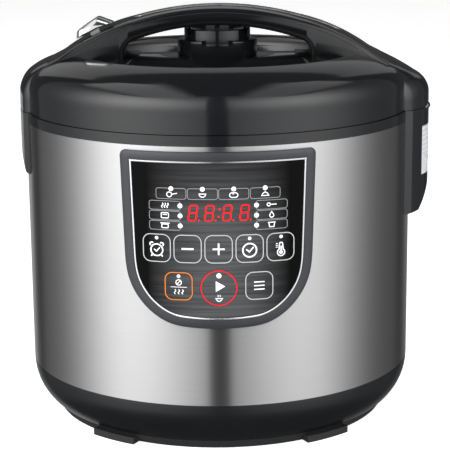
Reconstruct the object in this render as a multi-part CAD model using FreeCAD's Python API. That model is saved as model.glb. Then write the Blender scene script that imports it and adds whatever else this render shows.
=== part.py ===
import FreeCAD, Part
import math
import os

# Hinged-lid electric pressure cooker. Millimetres. The body's axis is the Z axis, the control
# panel faces -Y, the lid's hinge is on the +X side, and the foot ring stands on z = 0.

Vector = FreeCAD.Vector
UP = Vector(0, 0, 1)
ORIGIN = Vector(0, 0, 0)

# Body
body_r = 145.0
sleeve_wall = 0.6
base_top = 38.0
sleeve_top = 221.8
seam_z = 229.2
floor_bottom = 7.0
floor_top = 9.5
base_bottom_r = 131.0
foot_r = 126.0
foot_inner_r = 112.0
foot_pad_r = 134.0
foot_pad_angle = 36.0

# Pots and heating
pot_outer_r = 112.5
pot_wall = 2.0
pot_bottom = 60.0
flange_z0 = 229.0
flange_z1 = 233.0
flange_r = 118.0
lug_r = 123.5
lug_count = 15
lug_half_angle = 5.0
inner_pot_r = 109.5
inner_pot_wall = 1.2
inner_pot_bottom = 84.0
plate_r = 88.0
plate_hole_r = 14.0
shield_r = 118.0

# Lid
lid_r = 143.6
lid_gap = 0.3
crest_r = 108.0
crest_z = 270.4
basin_z = 251.5
lid_wall = 2.5
pressure_lid_z0 = 239.0
pressure_lid_z1 = 241.5
pressure_lid_r = 124.0

# Lock ring and its lever
ring_outer_r = 127.0
ring_skirt_r = 125.0
ring_lug_r = 119.0
ring_z0 = 224.6
ring_lug_z1 = 228.6
ring_top_z0 = 241.7
ring_top_z1 = 244.0
lock_turn = 12.0
lever_angle = 187.5
arm_half_angle = 3.0
slot_clearance = 0.8
slot_angle0 = lever_angle - lock_turn - arm_half_angle - slot_clearance
slot_angle1 = lever_angle + arm_half_angle + slot_clearance
lid_posts = [(x, y) for x in (-60, 60) for y in (-60, 60)]

# Hinge
hinge_x = 156.5
hinge_z = 229.2
barrel_r = 3.0
pin_r = 1.5
lid_knuckle_y = 7.8
barrel_y = 16.0

# Condensate cup and the pocket in the hinge side that holds it
cup_z0 = 179.0
cup_z1 = 216.0
cup_half = 32.3
cup_back = 146.0

# Handle arch
handle_top = 304.8
handle_end_x = 125.3
handle_end_z = 266.3
handle_low = 256.0
opening_half = 69.5
band = 3.0

# Steam valve
collar_r = 30.0
valve_base_r = 29.3
valve_split_z = 268.3
collar_top = 279.4
knob_r = 24.8
knob_top = 287.5
fin_top = 289.2
pipe_r = 3.0
float_y = 56.0
float_r = 2.5

# Control panel
panel_top = 218.5
panel_half = 67.0
panel_low_half = 64.5
panel_bottom = 94.9
frame_width = 6.3
trim_width = 1.3
frame_r = 148.0
trim_r = 147.6
face_r = 147.2
carrier_r = 144.3
carrier_inner_r = 141.0
key_pitch = 21.2
key_row_z = 151.5
low_row_z = 125.0
low_row_x = 27.7
key_width = 19.6
key_height = 20.2
key_corner = 5.5
start_key_r = 13.0
key_gap = 0.15
key_back_r = 143.9
board_y = -126.0
board_thick = 1.6
board_z = 16.0
board_posts = [(x, y) for x in (-38, 38) for y in (-28, 28)]
control_posts = [(x, z) for x in (-47, 47) for z in (124, 204)]
stem_end_y = -133.1
display_half = 24.2
display_z0 = 168.2
display_z1 = 184.0
dot_r = 1.0
indicator_z = 193.3
program_z = (181.6, 174.6, 167.6)
dots = [(x, indicator_z) for x in (-32.0, -10.6, 10.6, 32.0)]
dots += [(x, z) for x in (-26.0, 26.0) for z in program_z]
keys = {
    "timer_key": (-2 * key_pitch, key_row_z),
    "minus_key": (-key_pitch, key_row_z),
    "plus_key": (0.0, key_row_z),
    "clock_key": (key_pitch, key_row_z),
    "warm_key": (2 * key_pitch, key_row_z),
    "cancel_key": (-low_row_x, low_row_z),
    "start_key": (0.0, low_row_z - 1.0),
    "menu_key": (low_row_x, low_row_z),
}


# Geometry helpers

def face(place, points):
    """A flat face. A point is a corner, and a pair of points is an arc through the first to the second."""
    edges = []
    here = points[0]
    for step in points[1:] + [points[0]]:
        arc = isinstance(step[0], tuple)
        end = step[1] if arc else step
        if arc:
            edges.append(Part.Arc(place(here), place(step[0]), place(end)).toShape())
        elif math.dist(here, end) > 1e-6:
            edges.append(Part.LineSegment(place(here), place(end)).toShape())
        here = end
    return Part.Face(Part.Wire(edges))


def turned(points, angle0=0.0, angle=360.0):
    """Turn an (r, z) outline about the body's axis."""
    solid = face(lambda p: Vector(p[0], 0, p[1]), points).revolve(ORIGIN, UP, angle)
    solid.rotate(ORIGIN, UP, angle0)
    return solid


def side_face(points, y=0.0):
    return face(lambda p: Vector(p[0], y, p[1]), points)


def along_y(flat, y0, y1):
    """Stretch a face that lies in the plane y = 0 from y0 to y1."""
    solid = flat.extrude(Vector(0, y1 - y0, 0))
    solid.translate(Vector(0, y0, 0))
    return solid


def prism_y(points, y0, y1):
    return along_y(side_face(points), y0, y1)


def prism_z(points, z0, z1):
    return face(lambda p: Vector(p[0], p[1], z0), points).extrude(Vector(0, 0, z1 - z0))


def prism_x(points, x0, x1):
    return face(lambda p: Vector(x0, p[0], p[1]), points).extrude(Vector(x1 - x0, 0, 0))


def box(x0, x1, y0, y1, z0, z1):
    return Part.makeBox(x1 - x0, y1 - y0, z1 - z0, Vector(x0, y0, z0))


def cylinder(r, z0, z1, x=0.0, y=0.0):
    return Part.makeCylinder(r, z1 - z0, Vector(x, y, z0), UP)


def rod_y(r, y0, y1, x, z):
    return Part.makeCylinder(r, y1 - y0, Vector(x, y0, z), Vector(0, 1, 0))


def ring(r0, r1, z0, z1, x=0.0, y=0.0):
    return cylinder(r1, z0, z1, x, y).cut(cylinder(r0, z0 - 1, z1 + 1, x, y))


def sector(r0, r1, z0, z1, middle, half):
    """Part of a ring, centred on an angle from +X."""
    return turned([(r0, z0), (r1, z0), (r1, z1), (r0, z1)], middle - half, 2 * half)


def around(solid, count, angle0=0.0):
    """Copies of a solid, spaced evenly about the body's axis."""
    copies = []
    for i in range(count):
        copy = solid.copy()
        copy.rotate(ORIGIN, UP, angle0 + 360.0 * i / count)
        copies.append(copy)
    return copies


def rounded_rectangle(x, z, width, height, corner, grow=0.0):
    """A rounded rectangle face in the plane y = 0."""
    w = width / 2 + grow
    h = height / 2 + grow
    r = corner + grow
    d = r * (1 - math.sqrt(0.5))
    points = [
        (x - w + r, z - h),
        (x + w - r, z - h),
        ((x + w - d, z - h + d), (x + w, z - h + r)),
        (x + w, z + h - r),
        ((x + w - d, z + h - d), (x + w - r, z + h)),
        (x - w + r, z + h),
        ((x - w + d, z + h - d), (x - w, z + h - r)),
        (x - w, z - h + r),
        ((x - w + d, z - h + d), (x - w + r, z - h)),
    ]
    return side_face(points)


def disc_face(x, z, r):
    return Part.Face(Part.Wire(Part.Circle(Vector(x, 0, z), Vector(0, 1, 0), r).toShape()))


def save(name, *solids):
    shape = solids[0] if len(solids) == 1 else Part.makeCompound(list(solids))
    shape = shape.removeSplitter() if len(solids) == 1 else shape
    print(f"{name}: solids {len(shape.Solids)}, volume {shape.Volume:.1f}, valid {shape.isValid()}")
    shape.exportStep(f"parts/{name}.step")


# Shared outlines

def panel_outline():
    """The panel's outer edge seen from the front: straight sides and one large round bottom."""
    corner = 4.0
    d = corner * (1 - math.sqrt(0.5))
    return side_face([
        (-panel_half + corner, panel_top),
        ((-panel_half + d, panel_top - d), (-panel_half, panel_top - corner)),
        (-panel_low_half, 134.0),
        ((-55.3, 113.6), (-33.5, 97.3)),
        ((0.0, panel_bottom), (33.5, 97.3)),
        ((55.3, 113.6), (panel_low_half, 134.0)),
        (panel_half, panel_top - corner),
        ((panel_half - d, panel_top - d), (panel_half - corner, panel_top)),
    ])


def panel_slab(inset, r0, r1):
    """The panel's outline, moved in by inset, between two radii."""
    flat = panel_outline().makeOffset2D(-inset) if inset else panel_outline()
    return along_y(flat, -150.0, -100.0).common(ring(r0, r1, 60, 225))


def right_outline():
    """The right hinge side seen from above, strongly rounded."""
    return [
        (120.0, -46.0), (137.2, -46.0), (143.3, -43.0),
        ((153.6, -29.0), (158.4, -16.5)),
        ((159.5, 0.0), (158.4, 16.5)),
        ((153.6, 29.0), (143.3, 43.0)),
        (137.2, 46.0), (120.0, 46.0),
    ]


def left_outline():
    return [
        (-120.0, -37.8), (-139.5, -37.8), (-143.6, -34.6),
        ((-149.5, 0.0), (-143.6, 34.6)),
        (-139.5, 37.8), (-120.0, 37.8),
    ]


def handle_side():
    """The handle's arch seen from the front, closed at the bottom inside the lid."""
    arch = [
        (-handle_end_x, handle_low), (-handle_end_x, handle_end_z), (-117.0, 270.6),
        ((-95.5, 283.9), (-62.0, 296.2)),
        ((0.0, handle_top), (62.0, 296.2)),
        ((95.5, 283.9), (117.0, 270.6)),
        (handle_end_x, handle_end_z), (handle_end_x, handle_low),
        (opening_half, handle_low), (opening_half, 270.0),
        ((66.5, 277.4), (59.0, 281.5)),
        ((0.0, 291.0), (-59.0, 281.5)),
        ((-66.5, 277.4), (-opening_half, 270.0)),
        (-opening_half, handle_low),
    ]
    return side_face(arch)


def handle_band_side():
    """The handle's opening grown by the inner band's thickness."""
    half = opening_half + band
    return side_face([
        (-half, handle_low), (-half, 270.5),
        ((-68.8, 279.7), (-60.0, 284.4)),
        ((0.0, 291.0 + band), (60.0, 284.4)),
        ((68.8, 279.7), (half, 270.5)),
        (half, handle_low),
    ])


def handle_plan(inset):
    """The handle seen from above: narrow at mid span, wider at each end."""
    end = handle_end_x
    outline = face(lambda p: Vector(p[0], p[1], 240.0), [
        (-end, -37.5), (-104.0, -33.5),
        ((-62.0, -26.5), (0.0, -24.0)),
        ((62.0, -27.0), (104.0, -36.0)),
        (end, -43.5), (end, 43.5), (104.0, 36.0),
        ((62.0, 27.0), (0.0, 24.0)),
        ((-62.0, 26.5), (-104.0, 33.5)),
        (-end, 37.5),
    ])
    if inset:
        outline = outline.makeOffset2D(-inset)
    return outline.extrude(Vector(0, 0, 80))


# The lid's outer skin as a filled mass, which the handle and trims are cut to.

def lid_skin(drop):
    """The lid's (r, z) outline moved inwards by drop: side, shoulder, crest, basin wall and floor."""
    return [
        (0.0, seam_z + lid_gap),
        (lid_r - drop, seam_z + lid_gap),
        (lid_r - drop, 244.0),
        ((141.2 - 0.85 * drop, 254.5 - 0.55 * drop), (133.4 - 0.45 * drop, 261.9 - 0.9 * drop)),
        ((121.5 - 0.25 * drop, 267.0 - drop), (crest_r, crest_z - drop)),
        ((101.2 + 0.7 * drop, 268.6 - 0.7 * drop), (97.6 + 0.95 * drop, 262.5 - 0.3 * drop)),
        (95.6 + drop, 255.5),
        ((94.2 + 0.8 * drop, 252.5 - 0.6 * drop), (91.0 + 0.4 * drop, basin_z - drop)),
        (0.0, basin_z - drop),
    ]


def saddle(drop):
    """The saddle across the basin that carries the handle's feet and the valve."""
    low = basin_z - drop - 2.0
    section = [
        (-54.0 + 0.6 * drop, low),
        ((-36.0 + 0.6 * drop, 256.0 - 0.8 * drop), (-23.0 + 0.6 * drop, 265.6 - 0.8 * drop)),
        ((0.0, valve_split_z - drop), (23.0 - 0.6 * drop, 265.6 - 0.8 * drop)),
        ((36.0 - 0.6 * drop, 256.0 - 0.8 * drop), (54.0 - 0.6 * drop, low)),
    ]
    return prism_x(section, -crest_r, crest_r)


lid_mass = turned(lid_skin(0.0)).fuse(saddle(0.0).common(cylinder(104.0, 240, 300)))
lid_room = turned(lid_skin(lid_wall)).fuse(saddle(lid_wall).common(cylinder(98.0, 240, 300)))


# Base

def outer_sleeve():
    sleeve = ring(body_r - sleeve_wall, body_r, base_top, sleeve_top)
    opening = along_y(panel_outline().makeOffset2D(-4.0), -150, -100)
    return sleeve.cut(opening).cut(box(-17, 17, 130, 160, 55, 83))


def upper_rim():
    return turned([
        (112.6, 220.0), (132.0, 220.0), (132.0, 227.0), (142.4, 227.0), (142.4, 219.0),
        (body_r - 0.7, 219.0), (body_r - 0.7, sleeve_top), (body_r, sleeve_top), (body_r, seam_z),
        (130.0, seam_z), (130.0, 222.0), (116.5, 222.0), (116.5, flange_z0), (112.6, flange_z0),
    ])


def base_housing():
    bowl = turned([
        (0.0, floor_bottom), (base_bottom_r, floor_bottom),
        ((140.9, 19.5), (144.9, 36.0)),
        (144.9, base_top), (144.3, base_top), (144.3, 46.0), (141.8, 46.0), (141.8, 36.0),
        ((137.9, 20.9), (129.3, floor_top)),
        (0.0, floor_top),
    ])
    for x, y in board_posts:
        bowl = bowl.fuse(cylinder(4.0, floor_top - 0.5, board_z, x, y))
        bowl = bowl.cut(cylinder(1.3, 11.0, board_z + 1, x, y))
    vent = box(-24, 24, -1.5, 1.5, floor_bottom - 1, floor_top + 1)
    for i in range(-4, 5):
        slot = vent.copy()
        slot.translate(Vector(0, 65 + 6.0 * i, 0))
        bowl = bowl.cut(slot)
    return bowl


def foot_ring():
    foot = turned([
        (foot_inner_r, 0.0), (foot_r, 0.0), (base_bottom_r - 0.4, floor_bottom), (foot_inner_r, floor_bottom),
    ])
    for angle in (foot_pad_angle, -foot_pad_angle, 180 - foot_pad_angle, 180 + foot_pad_angle):
        foot = foot.fuse(sector(foot_r - 6, foot_pad_r, 0.0, 5.0, angle - 90, 8.0))
    return foot


def left_bracket():
    fin = prism_y([
        (-130.0, seam_z), (-149.6, seam_z), (-149.6, 212.0),
        ((-147.6, 197.0), (-143.0, 184.0)), (-130.0, 180.0),
    ], -60, 60)
    return fin.common(prism_z(left_outline(), 170, 240)).cut(cylinder(body_r, 160, 240))


def bracket_side():
    """The right bracket's outer face seen from the front, tapering in at the bottom."""
    return [
        (130.0, 219.0), (160.0, 219.0), (160.0, 186.0),
        ((157.4, 168.5), (149.5, 153.0)), (130.0, 150.0),
    ]


def right_bracket():
    block = prism_y(bracket_side(), -60, 60).common(prism_z(right_outline(), 140, 240))
    pocket = box(cup_back, 170, -cup_half, cup_half, cup_z0, cup_z1)
    return block.cut(cylinder(body_r, 120, 240)).cut(pocket)


def condensate_cup():
    outer = prism_z(right_outline(), cup_z0 + 0.3, cup_z1 - 0.3)
    outer = outer.common(box(cup_back + 0.3, 170, -cup_half + 0.3, cup_half - 0.3, cup_z0, cup_z1))
    inner = face(lambda p: Vector(p[0], p[1], cup_z0 + 1.6), right_outline()).makeOffset2D(-1.3)
    inner = inner.extrude(Vector(0, 0, 60))
    inner = inner.common(box(cup_back + 1.6, 170, -cup_half + 1.6, cup_half - 1.6, 150, 240))
    return outer.cut(inner)


def hinge_block():
    block = prism_z(right_outline(), 219.0, seam_z).cut(cylinder(body_r, 200, 240))
    block = block.cut(box(hinge_x - 0.1, 170, -60, 60, hinge_z - barrel_r - 0.2, 240))
    block = block.cut(rod_y(barrel_r + 0.4, -lid_knuckle_y - 0.2, lid_knuckle_y + 0.2, hinge_x, hinge_z))
    for y0, y1 in ((-barrel_y, -lid_knuckle_y - 0.2), (lid_knuckle_y + 0.2, barrel_y)):
        block = block.fuse(rod_y(barrel_r, y0, y1, hinge_x, hinge_z))
    return block.cut(rod_y(pin_r, -30, 30, hinge_x, hinge_z))


def hinge_pin():
    return rod_y(pin_r, -barrel_y, barrel_y, hinge_x, hinge_z)


# Pots and heating

def outer_pot():
    inner = pot_outer_r - pot_wall
    pot = turned([
        (20.0, pot_bottom), (pot_outer_r, pot_bottom), (pot_outer_r, flange_z0), (flange_r, flange_z0),
        (flange_r, flange_z1), (inner, flange_z1), (inner, pot_bottom + 2), (20.0, pot_bottom + 2),
    ])
    lug = sector(flange_r - 1, lug_r, flange_z0, flange_z1, 0.0, lug_half_angle)
    for copy in around(lug, lug_count, 90.0):
        pot = pot.fuse(copy)
    return pot


def inner_pot():
    r = inner_pot_r
    w = inner_pot_wall
    z = inner_pot_bottom
    return turned([
        (0.0, z), (r - 14, z), ((r - 4.1, z + 4.1), (r, z + 14)),
        (r, flange_z1), (r + 7, flange_z1), (r + 7, flange_z1 + w), (r - w, flange_z1 + w),
        (r - w, z + 14), ((r - 4.1 - 0.7 * w, z + 4.1 + 0.7 * w), (r - 14, z + w)), (0.0, z + w),
    ])


def heating_plate():
    z = inner_pot_bottom
    return turned([
        (plate_hole_r, 70.0), (plate_r - 4, 70.0), (plate_r, 74.0), (plate_r, z - 2),
        ((plate_r - 0.6, z - 0.6), (plate_r - 2, z)), (plate_hole_r, z),
    ])


def heating_element():
    return Part.makeTorus(62.0, 3.5, Vector(0, 0, 66.5), UP)


def plate_supports():
    return around(cylinder(5.0, pot_bottom + 2, 70.0, 78.0, 0.0), 3, 30.0)


def sensor_guide():
    tube = ring(6.1, 8.0, pot_bottom + 2, 74.0)
    return tube.fuse(ring(6.1, 24.0, pot_bottom + 2, pot_bottom + 3.5))


def sensor_spring():
    wire_r = 0.7
    pitch = 3.0
    z0 = pot_bottom + 4.4
    helix = Part.makeHelix(pitch, 12.0, 9.8)
    helix.translate(Vector(0, 0, z0))
    start = Vector(9.8, 0, z0)
    profile = Part.Wire(Part.Circle(start, Vector(0, 1, pitch / (2 * math.pi * 9.8)), wire_r).toShape())
    return Part.Wire(helix.Edges).makePipeShell([profile], True, True)


def sensor_plunger():
    top = inner_pot_bottom - 0.1
    return turned([
        (0.0, 64.0), (6.0, 64.0), (6.0, top - 5), (12.0, top - 5), (12.0, top - 1), (11.0, top), (0.0, top),
    ])


def pressure_switch():
    return box(52, 72, -5, 5, 49, pot_bottom).fuse(box(57, 60, -1.5, 1.5, 45, 49.5))


def thermal_fuse():
    return rod_y(2.5, -12, 12, -60, pot_bottom - 2.5)


def heat_shield():
    return ring(shield_r, shield_r + 0.6, floor_top, 212.0)


# Electronics in the base

def power_board():
    board = box(-46, 46, -36, 36, board_z, board_z + board_thick)
    for x, y in board_posts:
        board = board.cut(cylinder(1.3, board_z - 1, board_z + 3, x, y))
    return board


def board_parts():
    top = board_z + board_thick
    return [
        box(-30, -8, -24, -4, top, top + 17),
        box(4, 17, -26, -6, top, top + 15),
        cylinder(6.0, top, top + 20, 26, 10),
        cylinder(5.0, top, top + 14, 12, 14),
        box(-30, -2, 6, 22, top, top + 9),
    ]


def board_screws():
    top = board_z + board_thick
    screws = []
    for x, y in board_posts:
        screws.append(cylinder(1.3, 11.0, top, x, y).fuse(cylinder(3.0, top, top + 1.8, x, y)))
    back = board_y + board_thick
    for x, z in control_posts:
        screws.append(rod_y(1.2, -130.0, back, x, z).fuse(rod_y(2.6, back, back + 1.6, x, z)))
    return screws


def power_inlet():
    shell = box(-16, 16, 124, 146.5, 56, 82)
    return shell.cut(box(-12.2, 12.2, 131.5, 150, 61, 77))


def inlet_pins():
    return [box(x - 1, x + 1, 131.5, 143.5, z - 2, z + 2) for x, z in ((-7, 67), (7, 67), (0, 71))]


# Control panel

def key_face(name, grow):
    x, z = keys[name]
    if name == "start_key":
        return disc_face(x, z, start_key_r + grow)
    return rounded_rectangle(x, z, key_width, key_height, key_corner, grow)


def key_hole(name, grow):
    return along_y(key_face(name, grow), -150, -100)


def key_cap(name):
    x, z = keys[name]
    cap = key_hole(name, 0.0).common(ring(key_back_r, face_r, 100, 180))
    stem = rod_y(2.2, -150, stem_end_y, x, z).common(cylinder(face_r - 1, 100, 180))
    return cap.fuse(stem)


def window_face(grow):
    width = 2 * display_half
    height = display_z1 - display_z0
    return rounded_rectangle(0.0, (display_z0 + display_z1) / 2, width, height, 1.5, grow)


def panel_frame():
    return panel_slab(0.0, body_r, frame_r).cut(panel_slab(frame_width, body_r - 1, frame_r + 1))


def panel_trim():
    hole = panel_slab(frame_width + trim_width, body_r - 1, frame_r + 1)
    return panel_slab(frame_width, body_r, trim_r).cut(hole)


def panel_face():
    plate = panel_slab(frame_width + trim_width, body_r, face_r)
    plate = plate.cut(along_y(window_face(0.0), -150, -100))
    for name in keys:
        plate = plate.cut(key_hole(name, key_gap))
    for x, z in dots:
        plate = plate.cut(rod_y(dot_r, -150, -100, x, z))
    return plate


def panel_carrier():
    plate = panel_slab(0.0, carrier_inner_r, carrier_r)
    plate = plate.fuse(panel_slab(4.0, carrier_r - 0.5, body_r))
    window_half = display_half - 0.5
    plate = plate.cut(box(-window_half, window_half, -150, -100, display_z0 + 0.1, display_z1 - 0.1))
    for name in keys:
        plate = plate.cut(key_hole(name, 0.8))
    for x, z in control_posts:
        plate = plate.fuse(rod_y(3.2, -134.5, board_y, x, z).common(cylinder(carrier_r, 100, 220)))
        plate = plate.cut(rod_y(1.2, -130.0, board_y + 1, x, z))
    for x, z in dots:
        plate = plate.cut(rod_y(dot_r, -150, -100, x, z))
    return plate


def display_window():
    return along_y(window_face(0.0), -150, -100).common(ring(body_r, face_r, 100, 220))


def display_module():
    return box(-23.4, 23.4, -142.0, board_y, display_z0 + 0.4, display_z1 - 0.4)


def light_pipes():
    return [rod_y(dot_r, -150, board_y, x, z).common(cylinder(face_r, 100, 220)) for x, z in dots]


def control_board():
    board = box(-55, 55, board_y, board_y + board_thick, 112, 209)
    for x, z in control_posts:
        board = board.cut(rod_y(1.2, -150, -100, x, z))
    return board


def tact_switches():
    switches = []
    for x, z in keys.values():
        body = box(x - 3, x + 3, board_y - 4, board_y, z - 3, z + 3)
        switches.append(body.fuse(rod_y(1.7, stem_end_y + 0.6, board_y - 3, x, z)))
    return switches


# Lid

def swept_slot(r0, r1, z0, z1):
    """The room that the lever's arm needs over its whole turn."""
    middle = (slot_angle0 + slot_angle1) / 2
    return sector(r0, r1, z0, z1, middle, (slot_angle1 - slot_angle0) / 2)


def lid_cover():
    cover = lid_mass.cut(lid_room)
    for x, y in lid_posts:
        cover = cover.fuse(cylinder(5.0, pressure_lid_z1, basin_z - 1, x, y))
        cover = cover.cut(cylinder(1.6, pressure_lid_z1 - 1, 247.0, x, y))
    cover = cover.cut(cylinder(valve_base_r, 240, 300))
    cover = cover.cut(cylinder(float_r + 0.8, 240, 300, 0, float_y))
    return cover.cut(swept_slot(98.0, 117.2, 246, 280))


def handle_solid():
    whole = along_y(handle_side(), -60, 60).common(handle_plan(0.0))
    return whole.cut(lid_mass)


def handle_upper():
    shell = handle_solid().cut(along_y(handle_band_side(), -60, 60))
    room = along_y(handle_side().makeOffset2D(-lid_wall), -60, 60).common(handle_plan(lid_wall))
    shell = shell.cut(room.cut(box(-60, 60, -60, 60, 296.5, 310)))
    strip = handle_strip_solid()
    return shell.cut(strip).cut(swept_slot(86.8, 97.2, 262, 310))


def handle_lower():
    inner = handle_solid().common(along_y(handle_band_side(), -60, 60))
    return inner.common(handle_plan(0.8))


def handle_strip_solid():
    """A flat strip let into the arch's top, one millimetre thick."""
    flat = side_face([
        (-62.0, 296.2), ((0.0, handle_top), (62.0, 296.2)), (93.0, 285.0),
        (92.5, 284.0), (61.6, 295.2), ((0.0, handle_top - 1), (-61.6, 295.2)),
    ])
    return along_y(flat, -8, 8).common(handle_solid())


def handle_pads():
    pads = []
    for side in (-1, 1):
        plan = [
            (side * 96.0, -38.0), (side * 80.0, -36.0),
            ((side * 66.0, -33.0), (side * 60.0, -20.0)),
            ((side * 57.5, 0.0), (side * 60.0, 20.0)),
            ((side * 66.0, 33.0), (side * 80.0, 36.0)),
            (side * 96.0, 38.0),
        ]
        pad = prism_z(plan, 255.0, 269.6).cut(lid_mass)
        pads.append(pad.cut(handle_solid()))
    return pads


def left_trim():
    side = prism_y([
        (-handle_end_x, 232.0), (-141.0, seam_z + lid_gap), (-149.6, seam_z + lid_gap), (-149.4, 241.0),
        ((-147.2, 251.3), (-140.5, 259.3)),
        ((-133.0, 263.5), (-handle_end_x, handle_end_z)),
    ], -60, 60)
    return side.common(prism_z(left_outline(), 225, 290)).cut(lid_mass)


def right_trim():
    z = seam_z + lid_gap
    side = prism_y([
        (handle_end_x, 232.0), (141.0, z), (159.6, z), (159.4, 238.0),
        ((157.0, 247.2), (150.5, 252.9)),
        ((138.0, 260.3), (handle_end_x, handle_end_z)),
    ], -60, 60)
    trim = side.common(prism_z(right_outline(), 225, 290)).cut(lid_mass)
    for y0, y1 in ((-barrel_y - 0.3, -lid_knuckle_y), (lid_knuckle_y, barrel_y + 0.3)):
        trim = trim.cut(rod_y(barrel_r + 0.4, y0, y1, hinge_x, hinge_z))
    trim = trim.fuse(rod_y(barrel_r, -lid_knuckle_y, lid_knuckle_y, hinge_x, hinge_z))
    return trim.cut(rod_y(pin_r + 0.05, -30, 30, hinge_x, hinge_z))


def pressure_lid():
    plate = turned([
        (pipe_r, pressure_lid_z0), (100.0, pressure_lid_z0), (100.0, 234.6), (102.0, 234.6),
        (102.0, pressure_lid_z0), (pressure_lid_r, pressure_lid_z0), (pressure_lid_r, pressure_lid_z1),
        (pipe_r, pressure_lid_z1),
    ])
    for x, y in lid_posts:
        plate = plate.cut(cylinder(1.6, 230, 245, x, y))
    return plate.cut(cylinder(float_r + 0.1, 230, 245, 0, float_y))


def sealing_ring():
    return turned([
        (102.2, 236.0), (104.2, 234.4), (104.2, 229.5), (105.6, 228.6), (107.3, 230.5), (107.3, 234.4),
        (116.0, 234.4), (116.0, pressure_lid_z0), (102.2, pressure_lid_z0),
    ])


def lid_screws():
    return [
        cylinder(3.5, 237.2, pressure_lid_z0, x, y).fuse(cylinder(1.6, pressure_lid_z0 - 0.5, 247.0, x, y))
        for x, y in lid_posts
    ]


def valve_base():
    return turned([
        (pipe_r, 249.0), (valve_base_r, 249.0), (valve_base_r, valve_split_z), (25.4, valve_split_z),
        (25.4, 262.0), (8.0, 262.0), (8.0, 256.0), (pipe_r, 256.0),
    ])


def valve_collar():
    collar = turned([
        (25.4, valve_split_z), (collar_r, valve_split_z), (collar_r, collar_top - 1.2),
        ((collar_r - 0.4, collar_top - 0.4), (collar_r - 1.2, collar_top)),
        (26.4, collar_top), (25.4, collar_top - 1.0),
    ])
    return collar.cut(box(-11.5, 11.5, -40, -20, collar_top - 3.0, collar_top + 1))


def steam_pipe():
    return ring(1.5, pipe_r, 236.0, 281.0)


def anti_block_cap():
    cap = turned([
        (pipe_r + 0.2, 238.9), (pipe_r + 0.2, 237.6), (8.0, 237.6), (8.0, 229.8), (0.0, 229.8),
        (0.0, 228.6), (9.2, 228.6), (9.2, 238.9),
    ])
    for angle in range(0, 180, 30):
        slot = box(-15, 15, -1.0, 1.0, 231.0, 236.0)
        slot.rotate(ORIGIN, UP, angle)
        cap = cap.cut(slot)
    return cap


def steam_knob():
    knob = turned([
        (knob_r, 263.0), (knob_r, knob_top - 0.8), (knob_r - 0.8, knob_top), (0.0, knob_top), (0.0, 283.5),
        (pipe_r + 0.3, 283.5), (pipe_r + 0.3, 263.0), (6.5, 263.0), (6.5, 284.5),
        (knob_r - 2.2, 284.5), (knob_r - 2.2, 263.0),
    ])
    fin = box(11.0, 23.6, -1.8, 1.8, knob_top - 0.5, fin_top)
    for copy in around(fin, 6, 90.0):
        knob = knob.fuse(copy)
    return knob


def float_valve():
    pin = cylinder(float_r, 235.0, 251.2, 0, float_y)
    pin = pin.fuse(cylinder(4.6, 233.6, 235.4, 0, float_y))
    return pin.fuse(ring(float_r - 0.5, 4.0, 241.6, 243.4, 0, float_y))


def lock_ring():
    body = turned([
        (ring_skirt_r, ring_z0), (ring_outer_r, ring_z0), (ring_outer_r, ring_top_z1),
        (112.0, ring_top_z1), (112.0, ring_top_z0), (ring_skirt_r, ring_top_z0),
    ])
    lug = sector(ring_lug_r, ring_skirt_r + 1, ring_z0, ring_lug_z1, 0.0, lug_half_angle)
    for copy in around(lug, lug_count, 90.0 + lock_turn):
        body = body.fuse(copy)
    arm = turned([
        (112.4, ring_top_z1 - 1), (115.6, ring_top_z1 - 1), (115.6, 266.0), (95.4, 279.4), (95.4, 291.0),
        (89.0, 291.0), (89.0, 275.6), (109.4, 262.6), (112.4, 259.0),
    ], lever_angle - arm_half_angle, 2 * arm_half_angle)
    return body.fuse(arm)


def lock_lever():
    """The chrome tent-shaped lever that rides on the handle's top."""
    tent = prism_y([
        (-104.4, 281.4), (-104.0, 286.6), ((-98.0, 291.4), (-88.0, 297.4)), (-77.2, 293.4),
    ], -23.5, -2.5)
    return tent.cut(sector(89.0, 95.4, 270, 291.0, lever_angle, arm_half_angle))


def build_all():
    os.makedirs("parts", exist_ok=True)
    save("outer_sleeve", outer_sleeve())
    save("upper_rim", upper_rim())
    save("base_housing", base_housing())
    save("foot_ring", foot_ring())
    save("left_bracket", left_bracket())
    save("hinge_block", hinge_block())
    save("right_bracket", right_bracket())
    save("hinge_pin", hinge_pin())
    save("outer_pot", outer_pot())
    save("inner_pot", inner_pot())
    save("heat_shield", heat_shield())
    save("heating_plate", heating_plate())
    save("heating_element", heating_element())
    save("plate_supports", *plate_supports())
    save("sensor_guide", sensor_guide())
    save("sensor_spring", sensor_spring())
    save("sensor_plunger", sensor_plunger())
    save("pressure_switch", pressure_switch())
    save("thermal_fuse", thermal_fuse())
    save("power_board", power_board())
    save("board_parts", *board_parts())
    save("board_screws", *board_screws())
    save("control_board", control_board())
    save("tact_switches", *tact_switches())
    save("display_module", display_module())
    save("display_window", display_window())
    save("light_pipes", *light_pipes())
    save("panel_carrier", panel_carrier())
    save("panel_frame", panel_frame())
    save("panel_trim", panel_trim())
    save("panel_face", panel_face())
    save("power_inlet", power_inlet())
    save("inlet_pins", *inlet_pins())
    for name in keys:
        save(name, key_cap(name))
    save("lid_cover", lid_cover())
    save("handle_upper", handle_upper())
    save("handle_lower", handle_lower())
    save("handle_strip", handle_strip_solid())
    save("handle_pads", *handle_pads())
    save("left_trim", left_trim())
    save("right_trim", right_trim())
    save("pressure_lid", pressure_lid())
    save("sealing_ring", sealing_ring())
    save("valve_base", valve_base())
    save("valve_collar", valve_collar())
    save("steam_pipe", steam_pipe())
    save("anti_block_cap", anti_block_cap())
    save("lid_screws", *lid_screws())
    save("lock_ring", lock_ring())
    save("lock_lever", lock_lever())
    save("steam_knob", steam_knob())
    save("float_valve", float_valve())
    save("condensate_cup", condensate_cup())


build_all()
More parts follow.
